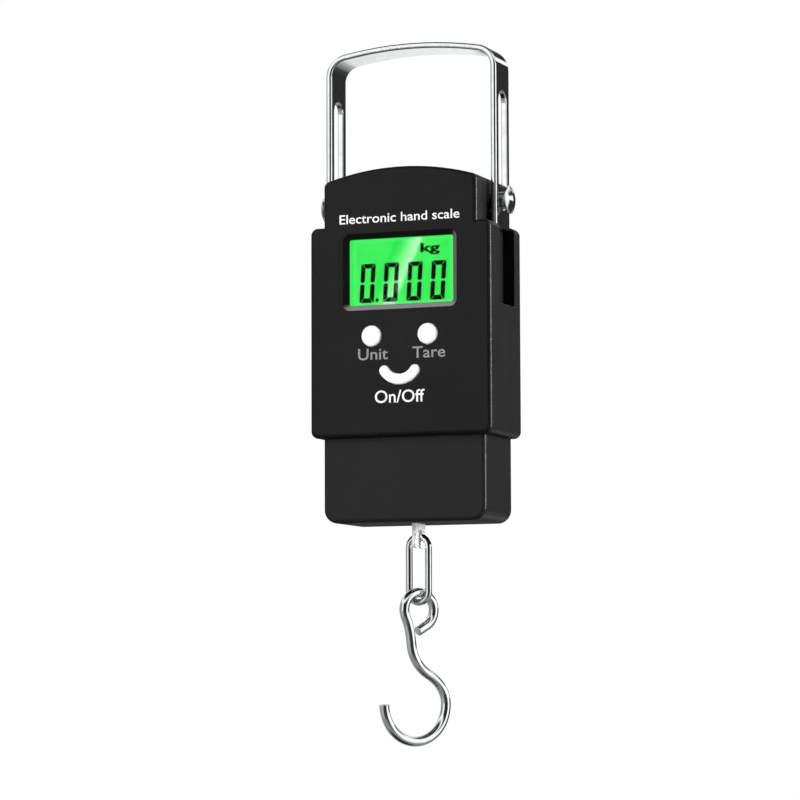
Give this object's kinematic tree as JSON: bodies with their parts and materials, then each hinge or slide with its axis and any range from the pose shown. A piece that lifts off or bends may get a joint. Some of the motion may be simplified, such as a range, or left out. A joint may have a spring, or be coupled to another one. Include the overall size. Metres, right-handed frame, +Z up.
{
  "type": "digital fish scale",
  "caption": "Hand-held digital hanging scale with a sliding metal bail, lit display, round and curved keys, battery door, chain link and open hook.",
  "frame": {"origin": "middle of the underside of the bail's grip, where the hand lifts it", "axes": "+Z up along the pull, display faces -Y, +X to the right of the display"},
  "size_m": [0.0752, 0.0343, 0.2567],
  "materials": {
    "bail_chrome": "polished plated strap with fine rub marks",
    "front_shell": "fine-textured moulded black",
    "back_shell": "fine-textured moulded black",
    "window_lens": "clear moulded lens",
    "display_panel": "lit green liquid crystal panel",
    "display_backlight": "diffusing light guide",
    "contact_strip": "layered conductive rubber",
    "circuit_board": "green solder resist",
    "chip_black": "moulded epoxy",
    "key_white": "satin white",
    "switch_black": "moulded black",
    "yoke_steel": "zinc plated pressing",
    "bolt_steel": "zinc plated",
    "cell_aluminium": "milled",
    "hanger_steel": "brushed stamped plate",
    "gauge_film": "amber film",
    "rivet_chrome": "polished plated",
    "collar_steel": "turned",
    "battery_jacket": "plain printed jacket",
    "contact_steel": "nickel plated",
    "battery_door": "fine-textured moulded black",
    "screw_steel": "blackened",
    "link_chrome": "polished plated wire",
    "hook_chrome": "polished plated wire"
  },
  "bodies": {
    "bail": {"bail_strap": "bail_chrome"},
    "housing": {"front_shell": "front_shell", "back_shell": "back_shell", "window_lens": "window_lens", "display_panel": "display_panel", "display_backlight": "display_backlight", "contact_strip": "contact_strip", "circuit_board": "circuit_board", "controller_chip": "chip_black", "unit_switch": "switch_black", "tare_switch": "switch_black", "power_switch": "switch_black", "load_yoke": "yoke_steel", "yoke_bolt": "bolt_steel", "load_cell": "cell_aluminium", "hanger_plate": "hanger_steel", "hanger_pin": "bolt_steel", "strain_gauge_left": "gauge_film", "strain_gauge_right": "gauge_film", "handle_rivet_left": "rivet_chrome", "handle_rivet_right": "rivet_chrome", "rivet_collar_left": "collar_steel", "rivet_collar_right": "collar_steel", "battery_left": "battery_jacket", "battery_right": "battery_jacket", "contact_spring_left": "contact_steel", "contact_spring_right": "contact_steel", "spring_plate_left": "contact_steel", "spring_plate_right": "contact_steel", "stud_plate_left": "contact_steel", "stud_plate_right": "contact_steel", "housing_screw_1": "screw_steel", "housing_screw_2": "screw_steel", "housing_screw_3": "screw_steel", "housing_screw_4": "screw_steel"},
    "unit_button": {"unit_key": "key_white"},
    "tare_button": {"tare_key": "key_white"},
    "power_button": {"power_key": "key_white"},
    "door": {"battery_door": "battery_door"},
    "link": {"chain_link": "link_chrome"},
    "hook": {"hook": "hook_chrome"}
  },
  "joints": [
    {"name": "housing_slide", "type": "slide", "parent": "bail", "child": "housing", "axis": [0, 0, 1], "range_m": [0, 0.027]},
    {"name": "unit_press", "type": "slide", "parent": "housing", "child": "unit_button", "axis": [0, 1, 0], "range_m": [0, 0.0005], "stiffness_N_per_m": 1200, "springref_m": -0.0006},
    {"name": "tare_press", "type": "slide", "parent": "housing", "child": "tare_button", "axis": [0, 1, 0], "range_m": [0, 0.0005], "stiffness_N_per_m": 1200, "springref_m": -0.0006},
    {"name": "power_press", "type": "slide", "parent": "housing", "child": "power_button", "axis": [0, 1, 0], "range_m": [0, 0.0005], "stiffness_N_per_m": 1200, "springref_m": -0.0006},
    {"name": "door_open", "type": "hinge", "parent": "housing", "child": "door", "pos_m": [0, 0.0144, -0.12785], "axis": [-1, 0, 0], "range_deg": [0, 75]},
    {"name": "link_swing", "type": "hinge", "parent": "housing", "child": "link", "pos_m": [0, 0, -0.17865], "axis": [0.9962, -0.0872, 0], "range_deg": [-60, 60]},
    {"name": "hook_swing", "type": "hinge", "parent": "link", "child": "hook", "pos_m": [0, 0, -0.2053], "axis": [-0.8192, 0.5736, 0], "range_deg": [-60, 60]}
  ]
}
